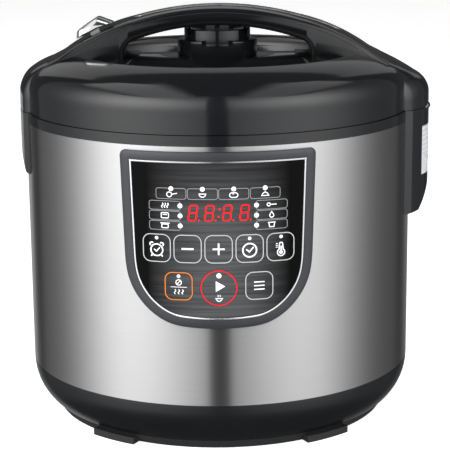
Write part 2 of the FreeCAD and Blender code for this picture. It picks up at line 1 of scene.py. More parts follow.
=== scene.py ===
import bpy
import bmesh
import math
from mathutils import Matrix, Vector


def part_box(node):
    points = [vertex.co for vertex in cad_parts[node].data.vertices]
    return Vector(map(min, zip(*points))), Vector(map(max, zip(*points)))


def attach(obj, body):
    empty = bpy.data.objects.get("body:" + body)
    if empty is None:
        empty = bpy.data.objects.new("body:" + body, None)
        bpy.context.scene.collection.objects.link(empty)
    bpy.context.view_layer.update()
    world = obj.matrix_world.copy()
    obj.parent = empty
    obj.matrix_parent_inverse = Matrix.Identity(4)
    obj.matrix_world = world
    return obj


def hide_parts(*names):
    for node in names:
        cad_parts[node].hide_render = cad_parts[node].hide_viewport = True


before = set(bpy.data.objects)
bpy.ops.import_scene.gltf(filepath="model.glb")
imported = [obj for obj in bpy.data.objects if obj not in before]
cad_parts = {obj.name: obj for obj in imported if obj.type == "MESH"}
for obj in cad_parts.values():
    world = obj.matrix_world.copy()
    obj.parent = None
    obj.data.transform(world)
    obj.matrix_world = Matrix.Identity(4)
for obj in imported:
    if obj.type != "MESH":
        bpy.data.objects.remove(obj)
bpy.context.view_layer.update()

# Every length below is in millimetres and is turned into metres when a mesh is made.
# Sizes shared with the frame are read from its boxes.
MM = 0.001


def node_box(name):
    low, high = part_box(name)
    return [c / MM for c in low], [c / MM for c in high]


handle_end, _, handle_top = node_box("handle_upper")[1]
face_r = -node_box("plus_key")[0][1]

# Radii of the panel's silver line, its frame and the wall behind both.
trim_r = 147.6
frame_r = 148.0
panel_back_r = 145.05


# Mesh helpers

def add_object(name, bm, sharp=30.0):
    """Make an object from a bmesh in millimetres, smooth except at edges sharper than the angle."""
    bmesh.ops.recalc_face_normals(bm, faces=bm.faces)
    for f in bm.faces:
        f.smooth = True
    for e in bm.edges:
        if len(e.link_faces) == 2 and e.calc_face_angle(0.0) > math.radians(sharp):
            e.smooth = False
    bmesh.ops.scale(bm, vec=(MM, MM, MM), verts=bm.verts)
    mesh = bpy.data.meshes.new(name)
    bm.to_mesh(mesh)
    bm.free()
    thing = bpy.data.objects.new(name, mesh)
    bpy.context.scene.collection.objects.link(thing)
    return thing


def skin(bm, rows, close_u=False, close_v=False):
    """Join rows of points into quads. close_u joins each row's ends, close_v the first and last rows."""
    grid = [[bm.verts.new(p) for p in row] for row in rows]
    count = len(grid)
    for i in range(count if close_v else count - 1):
        a = grid[i]
        b = grid[(i + 1) % count]
        width = len(a)
        for j in range(width if close_u else width - 1):
            k = (j + 1) % width
            bm.faces.new((a[j], a[k], b[k], b[j]))
    return grid


def cap(bm, row, centre_place=None):
    """Close a ring of vertices with a fan."""
    middle = centre_place or [sum(v.co[i] for v in row) / len(row) for i in range(3)]
    centre = bm.verts.new(middle)
    for j in range(len(row)):
        bm.faces.new((row[j], row[(j + 1) % len(row)], centre))


def capped_skin(bm, rows):
    """Join rings of points into a closed skin with a fan at each end."""
    grid = skin(bm, rows, close_u=True)
    cap(bm, grid[0])
    cap(bm, grid[-1])


def arc(cx, cy, r, a0, a1, steps):
    """Points on an arc, angles in degrees."""
    out = []
    for i in range(steps + 1):
        a = math.radians(a0 + (a1 - a0) * i / steps)
        out.append((cx + r * math.cos(a), cy + r * math.sin(a)))
    return out


def curve_through(points, steps):
    """A smooth Catmull-Rom curve through points, with steps spans between each pair."""
    out = []
    last = len(points) - 1
    for i in range(last):
        p0 = points[max(i - 1, 0)]
        p1 = points[i]
        p2 = points[i + 1]
        p3 = points[min(i + 2, last)]
        for k in range(steps):
            t = k / steps
            out.append(tuple(
                0.5 * (2 * b + (c - a) * t + (2 * a - 5 * b + 4 * c - d) * t * t
                       + (3 * b - a - 3 * c + d) * t ** 3)
                for a, b, c, d in zip(p0, p1, p2, p3)
            ))
    out.append(tuple(points[-1]))
    return out


def lerp(a, b, t):
    return tuple(x + (y - x) * t for x, y in zip(a, b))


def smooth_step(x, a, b):
    t = min(max((x - a) / (b - a), 0.0), 1.0)
    return t * t * (3 - 2 * t)


# Materials

class Paint:
    """A material's node tree with short names for the nodes used here."""

    def __init__(self, name, color, rough, **sockets):
        self.material = bpy.data.materials.new(name)
        self.material.use_nodes = True
        self.tree = self.material.node_tree
        self.shader = self.tree.nodes["Principled BSDF"]
        self.shader.inputs["Base Color"].default_value = (*color, 1.0)
        self.shader.inputs["Roughness"].default_value = rough
        for key, v in sockets.items():
            self.shader.inputs[key.replace("_", " ")].default_value = v

    def node(self, kind, **inputs):
        n = self.tree.nodes.new(kind)
        for key, v in inputs.items():
            n.inputs[key.replace("_", " ")].default_value = v
        return n

    def link(self, a, b):
        self.tree.links.new(a, b)

    def object_place(self):
        return self.node("ShaderNodeTexCoord").outputs["Object"]

    def axes(self):
        """The object's own X, Y and Z as separate values."""
        parts = self.node("ShaderNodeSeparateXYZ")
        self.link(self.object_place(), parts.inputs[0])
        return parts.outputs

    def math(self, op, a, b=0.0):
        n = self.tree.nodes.new("ShaderNodeMath")
        n.operation = op
        for socket, v in zip(n.inputs, (a, b)):
            if isinstance(v, (int, float)):
                socket.default_value = v
            else:
                self.link(v, socket)
        return n.outputs[0]

    def noise(self, place, scale, detail=2.0, rough=0.5):
        n = self.node("ShaderNodeTexNoise", Scale=scale, Detail=detail, Roughness=rough)
        if place is not None:
            self.link(place, n.inputs["Vector"])
        return n.outputs["Fac"]

    def remap(self, v, a, b, c, d):
        n = self.node("ShaderNodeMapRange")
        self.link(v, n.inputs["Value"])
        for key, number in zip(("From Min", "From Max", "To Min", "To Max"), (a, b, c, d)):
            n.inputs[key].default_value = number
        return n.outputs["Result"]

    def mix(self, fac, a, b):
        n = self.tree.nodes.new("ShaderNodeMix")
        n.data_type = "RGBA"
        if isinstance(fac, (int, float)):
            n.inputs[0].default_value = fac
        else:
            self.link(fac, n.inputs[0])
        for socket, v in ((n.inputs[6], a), (n.inputs[7], b)):
            if isinstance(v, tuple):
                socket.default_value = (*v, 1.0)
            else:
                self.link(v, socket)
        return n.outputs[2]

    def bump(self, height, strength, distance):
        n = self.node("ShaderNodeBump", Strength=strength, Distance=distance)
        self.link(height, n.inputs["Height"])
        self.link(n.outputs["Normal"], self.shader.inputs["Normal"])
        return n


def plastic(name, color, rough, grain=0.0, grain_scale=900.0, coat=0.0, spread=0.05):
    """Moulded plastic: uneven gloss, faint colour drift and a fine surface grain."""
    p = Paint(name, color, rough, Specular_IOR_Level=0.5, Coat_Weight=coat, Coat_Roughness=0.06)
    place = p.object_place()
    broad = p.noise(place, 35.0, 4.0, 0.6)
    p.link(p.remap(broad, 0.3, 0.7, rough - spread, rough + spread), p.shader.inputs["Roughness"])
    shade = tuple(c * 0.92 for c in color)
    light = tuple(min(c * 1.08, 1.0) for c in color)
    p.link(p.mix(broad, shade, light), p.shader.inputs["Base Color"])
    if grain:
        p.bump(p.noise(place, grain_scale, 3.0, 0.55), grain, 0.0002)
    return p.material


def brushed_steel(name):
    """Steel brushed around the body: fine rings along Z that drift slowly with the angle."""
    p = Paint(name, (0.5, 0.5, 0.51), 0.3, Metallic=1.0, Anisotropic=1.0, Anisotropic_Rotation=0.25)
    parts = p.axes()
    angle = p.math("ARCTAN2", parts["X"], parts["Y"])
    grain_place = p.node("ShaderNodeCombineXYZ")
    p.link(p.math("MULTIPLY", angle, 1.6), grain_place.inputs["X"])
    p.link(p.math("MULTIPLY", parts["Z"], 900.0), grain_place.inputs["Y"])
    grain = p.noise(grain_place.outputs[0], 2.2, 6.0, 0.7)
    p.link(p.mix(grain, (0.44, 0.44, 0.445), (0.55, 0.55, 0.555)), p.shader.inputs["Base Color"])
    p.link(p.remap(grain, 0.25, 0.75, 0.265, 0.335), p.shader.inputs["Roughness"])
    tangent = p.node("ShaderNodeTangent")
    tangent.direction_type = "RADIAL"
    tangent.axis = "Z"
    p.link(tangent.outputs[0], p.shader.inputs["Tangent"])
    p.bump(grain, 0.08, 0.00005)
    return p.material


def metal(name, color, rough, scale=120.0, grain=0.05):
    p = Paint(name, color, rough, Metallic=1.0)
    place = p.object_place()
    smudge = p.noise(place, scale, 4.0, 0.6)
    p.link(p.remap(smudge, 0.3, 0.7, rough * 0.7, rough * 1.4), p.shader.inputs["Roughness"])
    p.bump(p.noise(place, scale * 6, 2.0, 0.5), grain, 0.00005)
    return p.material


def panel_black(name):
    """Gloss film over printed brushed streaks that fade to black at the sides and top."""
    p = Paint(name, (0.004, 0.004, 0.0045), 0.22, Specular_IOR_Level=0.06)
    parts = p.axes()
    streak_place = p.node("ShaderNodeCombineXYZ")
    p.link(p.math("MULTIPLY", parts["X"], 9.0), streak_place.inputs["X"])
    p.link(p.math("MULTIPLY", parts["Z"], 420.0), streak_place.inputs["Y"])
    streak = p.noise(streak_place.outputs[0], 1.0, 5.0, 0.6)
    across = p.math("MULTIPLY", parts["X"], parts["X"])
    side = p.remap(across, 0.00002, 0.0024, 1.0, 0.0)
    height = p.remap(parts["Z"], 0.2135, 0.165, 0.35, 1.0)
    glow = p.math("MULTIPLY", side, height)
    lift = p.math("MULTIPLY", glow, p.remap(streak, 0.3, 0.7, 0.35, 1.0))
    p.link(p.mix(lift, (0.0012, 0.0012, 0.0013), (0.092, 0.094, 0.098)), p.shader.inputs["Base Color"])
    return p.material


def cup_plastic(name):
    """Frosted clear plastic with fine level ribs over its upper half; the rib troughs are painted darker as
    shade.
    """
    p = Paint(name, (0.62, 0.63, 0.65), 0.28, Specular_IOR_Level=0.5)
    parts = p.axes()
    wave = p.math("SINE", p.math("MULTIPLY", parts["Z"], 1800.0))
    upper = p.remap(parts["Z"], 0.194, 0.197, 0.0, 1.0)
    ribs = p.math("MULTIPLY", wave, upper)
    # Painted shade: the colour darkens towards the rib troughs.
    shade = p.remap(ribs, -1.0, 1.0, 0.55, 1.0)
    p.link(p.mix(shade, (0.30, 0.31, 0.33), (0.62, 0.63, 0.65)), p.shader.inputs["Base Color"])
    p.link(p.remap(p.noise(p.object_place(), 200.0, 3.0), 0.3, 0.7, 0.24, 0.34), p.shader.inputs["Roughness"])
    p.bump(ribs, 0.25, 0.0002)
    return p.material


charcoal = plastic("charcoal_gloss", (0.006, 0.0066, 0.0078), 0.12, 0.01, 1400.0, 0.15, 0.02)
black_satin = plastic("black_satin", (0.003, 0.003, 0.0034), 0.3, 0.05, 1300.0, 0.0, 0.05)
black_satin.node_tree.nodes["Principled BSDF"].inputs["Specular IOR Level"].default_value = 0.3
base_black = plastic("base_black", (0.0045, 0.005, 0.006), 0.3, 0.04, 1300.0, 0.0, 0.03)
frame_grey = plastic("frame_grey", (0.022, 0.024, 0.028), 0.34, 0.03, 1500.0, 0.0, 0.04)
rubber = plastic("foot_rubber", (0.012, 0.012, 0.012), 0.7, 0.25, 700.0, 0.0, 0.08)
steel = brushed_steel("body_steel")
chrome = metal("chrome", (0.88, 0.89, 0.90), 0.06, 60.0, 0.0)
silver = metal("silver_trim", (0.86, 0.87, 0.89), 0.2, 60.0, 0.01)
dull_steel = metal("dull_steel", (0.5, 0.5, 0.5), 0.35)
aluminium = metal("aluminium", (0.55, 0.56, 0.57), 0.42)
nonstick = plastic("nonstick", (0.02, 0.02, 0.021), 0.45, 0.4, 900.0, 0.0, 0.08)
silicone = plastic("silicone", (0.62, 0.61, 0.58), 0.55, 0.1, 600.0, 0.0, 0.06)
circuit = plastic("circuit_green", (0.01, 0.09, 0.03), 0.35, 0.1, 500.0, 0.2, 0.05)
ivory = plastic("ivory", (0.6, 0.58, 0.5), 0.4, 0.1, 600.0, 0.0, 0.05)
brass = metal("brass", (0.7, 0.5, 0.2), 0.25)
face_black = panel_black("panel_black")


def paint(material, *names):
    for name in names:
        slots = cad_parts[name].data.materials
        slots.clear()
        slots.append(material)


paint(steel, "outer_sleeve")
paint(charcoal, "upper_rim", "left_bracket", "hinge_block", "right_bracket", "lid_cover", "handle_upper",
      "handle_pads", "left_trim", "right_trim", "valve_base", "valve_collar", "steam_knob")
paint(black_satin, "handle_lower", "panel_carrier", "display_module", "tact_switches", "board_parts",
      "power_inlet")
paint(base_black, "base_housing")
paint(rubber, "foot_ring")
paint(chrome, "lock_lever")
paint(silver, "handle_strip", "panel_trim")
paint(frame_grey, "panel_frame")
paint(face_black, "panel_face", "display_window", "timer_key", "minus_key", "plus_key", "clock_key",
      "warm_key", "cancel_key", "start_key", "menu_key")
paint(dull_steel, "hinge_pin", "heating_element", "plate_supports", "sensor_spring", "board_screws",
      "pressure_lid", "steam_pipe", "anti_block_cap", "lid_screws", "lock_ring", "float_valve")
paint(aluminium, "outer_pot", "heat_shield", "heating_plate", "sensor_guide", "sensor_plunger")
paint(nonstick, "inner_pot")
paint(silicone, "sealing_ring")
paint(circuit, "power_board", "control_board")
paint(ivory, "pressure_switch", "thermal_fuse", "light_pipes")
paint(cup_plastic("cup_plastic"), "condensate_cup")
paint(brass, "inlet_pins")


# Control panel

def on_panel(x, z, r):
    """A point of the panel's curved face, seen from the front, at radius r."""
    return (x, -math.sqrt(r * r - x * x), z)


def rounded(x, z, width, height, corner, steps=6):
    """Outline of a rounded rectangle, anticlockwise."""
    out = []
    for sx, sz, a in ((1, 1, 0), (-1, 1, 90), (-1, -1, 180), (1, -1, 270)):
        out += arc(x + sx * (width / 2 - corner), z + sz * (height / 2 - corner), corner, a, a + 90, steps)
    return out


def circle(x, z, r, steps=48):
    return arc(x, z, r, 0, 360, steps)[:-1]


def spaced(points, gap):
    """The outline again with points added so that no side is longer than gap."""
    out = []
    for i, p in enumerate(points):
        q = points[(i + 1) % len(points)]
        count = max(1, math.ceil(math.dist(p, q) / gap))
        out += [lerp(p, q, k / count) for k in range(count)]
    return out


def side_step(points, i, closed):
    """The sideways unit vector of a line at point i, lengthened at bends so that its width stays even."""
    count = len(points)
    before = points[(i - 1) % count] if closed or i > 0 else None
    after = points[(i + 1) % count] if closed or i < count - 1 else None
    here = points[i]
    ways = []
    for a, b in ((before, here), (here, after)):
        if a is not None and b is not None and math.dist(a, b) > 1e-6:
            length = math.dist(a, b)
            ways.append(((a[1] - b[1]) / length, (b[0] - a[0]) / length))
    nx = sum(w[0] for w in ways)
    nz = sum(w[1] for w in ways)
    size = math.hypot(nx, nz) or 1.0
    nx, nz = nx / size, nz / size
    reach = 1.0 / max(nx * ways[0][0] + nz * ways[0][1], 0.5)
    return nx * reach, nz * reach


def sweep(bm, points, section, closed=True):
    """Carry a closed section of (inward offset, radius) pairs along an outline on the panel."""
    rows = []
    for i, (x, z) in enumerate(points):
        nx, nz = side_step(points, i, closed)
        rows.append([on_panel(x + nx * d, z + nz * d, r) for d, r in section])
    grid = skin(bm, rows, close_u=True, close_v=closed)
    if not closed:
        bm.faces.new(grid[0])
        bm.faces.new(list(reversed(grid[-1])))


print_low = face_r - 0.05
print_top = face_r + 0.035


def line(bm, points, width, closed=False):
    """One printed line of even width, with points close enough to follow the panel's curve."""
    h = width / 2
    fine = []
    for a, b in zip(points, points[1:] + points[:1]):
        count = max(1, math.ceil(math.dist(a, b) / 1.2))
        fine += [lerp(a, b, k / count) for k in range(count)]
    if not closed:
        count = max(1, math.ceil(math.dist(points[-1], points[0]) / 1.2))
        fine = fine[:len(fine) - count + 1]
    points = fine
    sweep(bm, points, [(-h, print_low), (-h, print_top), (h, print_top), (h, print_low)], closed)


def patch(bm, outline, top=print_top):
    """A printed filled shape. Its outline must be visible from its middle."""
    rows = [[bm.verts.new(on_panel(x, z, r)) for x, z in outline] for r in (print_low, top)]
    count = len(outline)
    for j in range(count):
        k = (j + 1) % count
        bm.faces.new((rows[0][j], rows[0][k], rows[1][k], rows[1][j]))
    mx = sum(p[0] for p in outline) / count
    mz = sum(p[1] for p in outline) / count
    for row, r in zip(rows, (print_low, top)):
        cap(bm, row, on_panel(mx, mz, r))


def ink(name, color, glow=0.0):
    """Screen-printed ink, slightly uneven. Its glow is emission: on printed marks it is painted light, since
    print is no lamp; on led_red, the display's LED segments, it is their own light.
    """
    p = Paint(name, color, 0.45, Specular_IOR_Level=0.08)
    wear = p.noise(p.object_place(), 900.0, 3.0, 0.6)
    p.link(p.mix(wear, tuple(c * 0.82 for c in color), color), p.shader.inputs["Base Color"])
    p.link(p.remap(wear, 0.3, 0.7, 0.38, 0.5), p.shader.inputs["Roughness"])
    # Emission: painted light on printed marks, the LEDs' own light on led_red.
    if glow:
        p.shader.inputs["Emission Color"].default_value = (*color, 1.0)
        p.link(p.remap(wear, 0.3, 0.7, glow * 0.85, glow), p.shader.inputs["Emission Strength"])
    return p.material


# The last number of each ink is its glow: painted light for the printed inks, the LEDs' own light for
# led_red.
white_ink = ink("white_ink", (0.80, 0.81, 0.82), 0.42)
grey_ink = ink("grey_ink", (0.42, 0.43, 0.44), 0.14)
dim_ink = ink("dim_ink", (0.30, 0.305, 0.31), 0.1)
orange_ink = ink("orange_ink", (0.62, 0.17, 0.02), 0.25)
red_ink = ink("red_ink", (0.60, 0.006, 0.016), 0.3)
led_red = ink("led_red", (0.80, 0.004, 0.008), 0.55)


def graphic(name, body, material, lines=(), patches=()):
    """One printed colour on one body: lines are (points, width, closed)."""
    bm = bmesh.new()
    for points, width, closed in lines:
        line(bm, points, width, closed)
    for outline in patches:
        patch(bm, outline)
    thing = add_object(name, bm)
    thing.data.materials.append(material)
    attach(thing, body)
    return thing


panel_outline = (
    arc(-63.0, 214.5, 4.0, 180, 90, 8)
    + arc(63.0, 214.5, 4.0, 90, 0, 8)
)


def three_point_arc(a, b, c, steps):
    """Points on the circle through three points, from a to c."""
    ax, az = a
    bx, bz = b
    cx, cz = c
    d = 2 * (ax * (bz - cz) + bx * (cz - az) + cx * (az - bz))
    a_square = ax ** 2 + az ** 2
    b_square = bx ** 2 + bz ** 2
    c_square = cx ** 2 + cz ** 2
    ux = (a_square * (bz - cz) + b_square * (cz - az) + c_square * (az - bz)) / d
    uz = (a_square * (cx - bx) + b_square * (ax - cx) + c_square * (bx - ax)) / d
    r = math.dist((ux, uz), a)
    a0 = math.atan2(az - uz, ax - ux)
    a1 = math.atan2(bz - uz, bx - ux)
    a2 = math.atan2(cz - uz, cx - ux)
    turn = (a2 - a0) % (2 * math.pi)
    if (a1 - a0) % (2 * math.pi) > turn:
        turn -= 2 * math.pi
    out = []
    for i in range(steps + 1):
        angle = a0 + turn * i / steps
        out.append((ux + r * math.cos(angle), uz + r * math.sin(angle)))
    return out


panel_outline += three_point_arc((64.5, 134.0), (55.3, 113.6), (33.5, 97.3), 24)
panel_outline += three_point_arc((33.5, 97.3), (0.0, 94.9), (-33.5, 97.3), 24)[1:]
panel_outline += three_point_arc((-33.5, 97.3), (-55.3, 113.6), (-64.5, 134.0), 24)[1:]
panel_outline = spaced(panel_outline, 2.5)


def relax(points, top, passes):
    """Ease the bends of an outline below a height."""
    for _ in range(passes):
        eased = []
        for i, (x, z) in enumerate(points):
            before = points[i - 1]
            after = points[(i + 1) % len(points)]
            share = 0.5 * smooth_step(z, top, top - 12.0)
            middle_x = (before[0] + after[0]) / 2
            middle_z = (before[1] + after[1]) / 2
            eased.append((x + share * (middle_x - x), z + share * (middle_z - z)))
        points = eased
    return points


panel_outline = relax(panel_outline, 150.0, 24)


def panel_edge(name, section, material, *nodes):
    bm = bmesh.new()
    rows = []
    for i, (x, z) in enumerate(panel_outline):
        nx, nz = side_step(panel_outline, i, True)
        row = []
        for d, r in section:
            px, pz = x + nx * d, z + nz * d
            if z > 214.4 and abs(x) > 62.9 and d < -3.9:
                px, pz = math.copysign(67.0 + d, x), 218.5 + d
            row.append(on_panel(px, pz, r))
        rows.append(row)
    skin(bm, rows, close_u=True, close_v=True)
    bmesh.ops.remove_doubles(bm, verts=bm.verts, dist=0.001)
    thing = add_object(name, bm)
    thing.data.materials.append(material)
    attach(thing, "base")
    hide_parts(*nodes)
    return thing


# The outline runs clockwise, so a negative offset points into the panel.
panel_edge("panel_surround", [
    (0.0, panel_back_r), (0.0, 147.2), (-0.25, 147.7), (-0.8, frame_r), (-5.5, frame_r), (-6.1, 147.85),
    (-6.3, 147.5), (-6.3, panel_back_r),
], frame_grey, "panel_frame")
panel_edge("panel_silver_line", [
    (-6.35, panel_back_r), (-6.35, 147.45), (-6.6, trim_r), (-7.3, trim_r), (-7.6, 147.45),
    (-7.6, panel_back_r),
], silver, "panel_trim")

key_pitch = 21.2
upper_row = 151.5
lower_row = 125.0
upper_keys = ("timer", "minus", "plus", "clock", "warm")
key_places = {key: (key_pitch * (i - 2), upper_row) for i, key in enumerate(upper_keys)}
key_places["cancel"] = (-27.7, lower_row)
key_places["menu"] = (27.7, lower_row)


def key_ring(body, material):
    x, z = key_places[body]
    return graphic(body + "_key_ring", body, material, [(rounded(x, z, 18.7, 19.3, 5.0), 0.65, True)])


def key_icon(body, lines=(), patches=()):
    x, z = key_places[body]
    moved = [([(x + px, z + pz) for px, pz in points], width, closed) for points, width, closed in lines]
    filled = [[(x + px, z + pz) for px, pz in outline] for outline in patches]
    return graphic(body + "_key_icon", body, white_ink, moved, filled)


for key in (*upper_keys, "menu"):
    key_ring(key, grey_ink)
key_ring("cancel", orange_ink)

key_icon("timer", [
    (circle(0, -1.4, 4.1), 0.9, True),
    ([(-1.9, -0.9), (-0.3, -2.4), (2.1, 0.4)], 0.8, False),
    (arc(-3.4, 2.6, 1.2, 40, 230, 10), 0.9, False),
    (arc(3.4, 2.6, 1.2, 140, -50, 10), 0.9, False),
    ([(-2.9, -4.7), (-4.0, -5.9)], 0.9, False),
    ([(2.9, -4.7), (4.0, -5.9)], 0.9, False),
], [circle(0, 7.1, 1.2, 20)])
key_icon("minus", [([(-4.1, 0.0), (4.1, 0.0)], 1.25, False)])
key_icon("plus", [], [
    [(-0.55, 0.55), (-4.1, 0.55), (-4.1, -0.55), (-0.55, -0.55), (-0.55, -4.1), (0.55, -4.1),
     (0.55, -0.55), (4.1, -0.55), (4.1, 0.55), (0.55, 0.55), (0.55, 4.1), (-0.55, 4.1)],
])
key_icon("clock", [
    (circle(0, -1.2, 4.7), 1.0, True),
    ([(-2.2, -0.6), (-0.2, -2.4), (2.6, 0.9)], 0.9, False),
], [circle(0, 7.1, 1.2, 20)])
key_icon("warm", [
    (arc(0.4, -3.9, 2.5, 125, 415, 24) + arc(0.4, 1.9, 1.1, 0, 180, 8), 0.75, True),
    ([(0.4, -3.2), (0.4, 0.6)], 0.8, False),
    ([(-3.2, 2.4), (-1.9, 2.4)], 0.5, False),
    ([(-3.2, 1.1), (-1.9, 1.1)], 0.5, False),
    ([(-3.2, -0.2), (-1.9, -0.2)], 0.5, False),
], [circle(0.4, -3.9, 1.3, 20), circle(0.4, 7.1, 1.2, 20)])

# The lower keys carry a struck circle over waves, three bars, and a play sign over a small steaming bowl.
key_icon("cancel", [
    (circle(0, 2.7, 1.9, 28), 0.55, True),
    ([(-1.2, 1.5), (1.2, 3.9)], 0.55, False),
    ([(-5.6, -0.6), (5.6, -0.6)], 0.35, False),
    (curve_through([(-2.4, -5.6), (-3.1, -4.6), (-2.0, -3.4), (-2.7, -2.3)], 4), 0.55, False),
    (curve_through([(0.2, -5.6), (-0.5, -4.6), (0.6, -3.4), (-0.1, -2.3)], 4), 0.55, False),
    (curve_through([(2.8, -5.6), (2.1, -4.6), (3.2, -3.4), (2.5, -2.3)], 4), 0.55, False),
], [circle(0, 7.1, 1.2, 20)])
key_icon("menu", [
    ([(-3.6, 2.6), (3.6, 2.6)], 0.75, False),
    ([(-3.6, 0.0), (3.6, 0.0)], 0.75, False),
    ([(-3.6, -2.6), (3.6, -2.6)], 0.75, False),
])
graphic("start_key_ring", "start", red_ink, [(circle(0, 124.0, 12.3, 72), 0.85, True)])
graphic("start_key_icon", "start", white_ink, [
    (arc(0, 116.6, 1.9, 170, 370, 16), 0.6, False),
    ([(-2.6, 116.7), (2.6, 116.7)], 0.6, False),
    ([(-0.7, 117.9), (-0.7, 119.2)], 0.5, False),
    ([(0.7, 117.9), (0.7, 119.2)], 0.5, False),
], [circle(0, 132.8, 1.75, 24), [(-2.2, 129.0), (-2.2, 121.4), (4.2, 125.2)]])

# Indicator boxes: a row of four above the display, and three at each side of it.
top_columns = (-32.0, -10.6, 10.6, 32.0)
side_rows = (181.6, 174.6, 167.6)
boxes = [(x, 189.9, 20.4, 7.4) for x in top_columns]
boxes += [(side * 36.4, z, 21.4, 6.2) for side in (-1, 1) for z in side_rows]


def open_box(x, z, width, height):
    """A box outline with a gap for its lamp: in the top edge, or in the inner edge of the side boxes."""
    outline = spaced(rounded(x, z, width, height, 1.6, 4), 1.0)
    lamp = (x, z + height / 2) if height > 7 else (x - math.copysign(width / 2, x), z)
    start = min(range(len(outline)), key=lambda i: math.dist(outline[i], lamp))
    turned = outline[start:] + outline[:start]
    return [p for p in turned if math.dist(p, lamp) > 1.3]


graphic("indicator_boxes", "base", dim_ink, [(open_box(*b), 0.35, False) for b in boxes])


def indicator_sign(kind, x, z):
    """A small generic food sign as lines about the middle of an indicator box."""
    signs = {
        "pan": [(circle(-1.2, 0, 1.7, 20), True), ([(0.6, 0.2), (4.2, 0.9)], False)],
        "bowl": [([(-2.6, 0.7), (2.6, 0.7)], False), (arc(0, 0.7, 2.2, 180, 360, 12), False)],
        "loaf": [
            (arc(-1.2, -0.2, 1.6, 90, 270, 8) + arc(1.2, -0.2, 1.6, -90, 90, 8), True),
            ([(-0.6, 0.3), (0.2, 1.3)], False),
        ],
        "grain": [
            ([(-2.8, -1.3), (2.8, -1.3)], False), (arc(0, -1.2, 2.1, 0, 180, 12), False),
            ([(0, 1.0), (0, 1.8)], False),
        ],
        "steam": [
            (curve_through([(a, -1.7), (a - 0.6, -0.6), (a + 0.5, 0.6), (a, 1.7)], 4), False)
            for a in (-1.6, 0.2, 2.0)
        ],
        "oven": [(rounded(0, 0, 5.0, 3.6, 0.6, 3), True), ([(-1.5, 0.6), (1.5, 0.6)], False)],
        "pot": [(rounded(0, -0.4, 4.4, 2.6, 0.5, 3), True), ([(-3.2, 1.6), (3.2, 1.6)], False)],
        "spoon": [(circle(-2.0, 0, 1.1, 16), True), ([(-0.8, 0), (3.4, 0)], False)],
        "drop": [(arc(0, -0.6, 1.4, 150, 390, 14) + [(0, 2.0)], True)],
        "cup": [
            ([(-2.0, 1.5), (-1.5, -1.6), (1.5, -1.6), (2.0, 1.5)], False),
            ([(-2.6, 1.5), (2.6, 1.5)], False),
        ],
    }
    return [([(x + a, z + b) for a, b in points], 0.6, closed) for points, closed in signs[kind]]


sign_names = ("pan", "bowl", "loaf", "grain", "steam", "oven", "pot", "spoon", "drop", "cup")
signs = []
for kind, (x, z, width, height) in zip(sign_names, boxes):
    signs += indicator_sign(kind, x, z - (0.6 if height > 7 else 0.0))
graphic("indicator_signs", "base", white_ink, signs)
lamps = [(x, 193.3) for x in top_columns]
lamps += [(side * 26.0, z) for side in (-1, 1) for z in side_rows]
lamp_discs = [circle(x, z, 1.65, 20) for x, z in lamps]
graphic("indicator_lamps", "base", white_ink, [], lamp_discs)

# Four seven-segment digits, a colon and points.
digit_slant = 0.13


def segment_shape(x, z, along, length, thick):
    """A pointed bar, level or upright, leaning with the digit."""
    h = thick / 2
    half = length / 2
    level = [(-half, 0), (-half + h, -h), (half - h, -h), (half, 0), (half - h, h), (-half + h, h)]
    if not along:
        level = [(-b, a) for a, b in level]
    return [(x + a + (z + b) * digit_slant, z + b) for a, b in level]


def digit(cx, cz, width, height, thick):
    out = []
    half = height / 2
    for z in (-half, 0.0, half):
        out.append(segment_shape(0.0, z, True, width - 0.5, thick))
    for x in (-width / 2, width / 2):
        for z in (-half / 2, half / 2):
            out.append(segment_shape(x, z, False, half - 0.5, thick))
    return [[(cx + a, cz + b) for a, b in shape] for shape in out]


digit_places = (-17.2, -6.0, 6.2, 17.9)
lit = []
for cx in digit_places:
    lit += digit(cx, 176.8, 5.3, 10.4, 1.05)
    lit.append(circle(cx + 4.1, 171.7, 0.65, 16))
lit.append(circle(0.3, 174.2, 0.7, 16))
lit.append(circle(0.9, 179.2, 0.7, 16))
graphic("display_digits", "base", led_red, [], lit)


# Carrying handle

handle_arch = [(-handle_end, 266.3)]
handle_arch += three_point_arc((-117.0, 270.6), (-95.5, 283.9), (-62.0, 296.2), 14)
handle_arch += three_point_arc((-62.0, 296.2), (0.0, handle_top), (62.0, 296.2), 40)[1:]
handle_arch += three_point_arc((62.0, 296.2), (95.5, 283.9), (117.0, 270.6), 14)[1:]
handle_arch += [(handle_end, 266.3)]


def height_at(points, x):
    """Height of an outline that runs left to right, at x."""
    for a, b in zip(points, points[1:]):
        if a[0] <= x <= b[0]:
            return a[1] + (b[1] - a[1]) * (x - a[0]) / max(b[0] - a[0], 1e-9)
    return points[0][1] if x < points[0][0] else points[-1][1]


def handle_half(x):
    """Half the handle's width seen from above: waisted at mid span and wider at the hinge end."""
    end = 43.4 if x > 0 else 37.4
    knee = 36.0 if x > 0 else 33.5
    a = abs(x)
    if a > 104.0:
        return knee + (end - knee) * (a - 104.0) / (handle_end - 104.0)
    return 24.0 + (knee - 24.0) * (a / 104.0) ** 2.2


# The inner band's outer half width and the heights of its straight legs.
band_half = 72.5
leg_heights = (256.0, 262.0, 266.0)
band_arch = three_point_arc((-band_half, 270.5), (-68.8, 279.7), (-60.0, 284.4), 10)
band_arch += three_point_arc((-60.0, 284.4), (0.0, 294.0), (60.0, 284.4), 40)[1:]
band_arch += three_point_arc((60.0, 284.4), (68.8, 279.7), (band_half, 270.5), 10)[1:]


def crown(y, half):
    """How far the handle's top falls from its middle line: nearly flat, then a soft shoulder."""
    return 0.25 + 1.5 * (abs(y) / half) ** 2.4


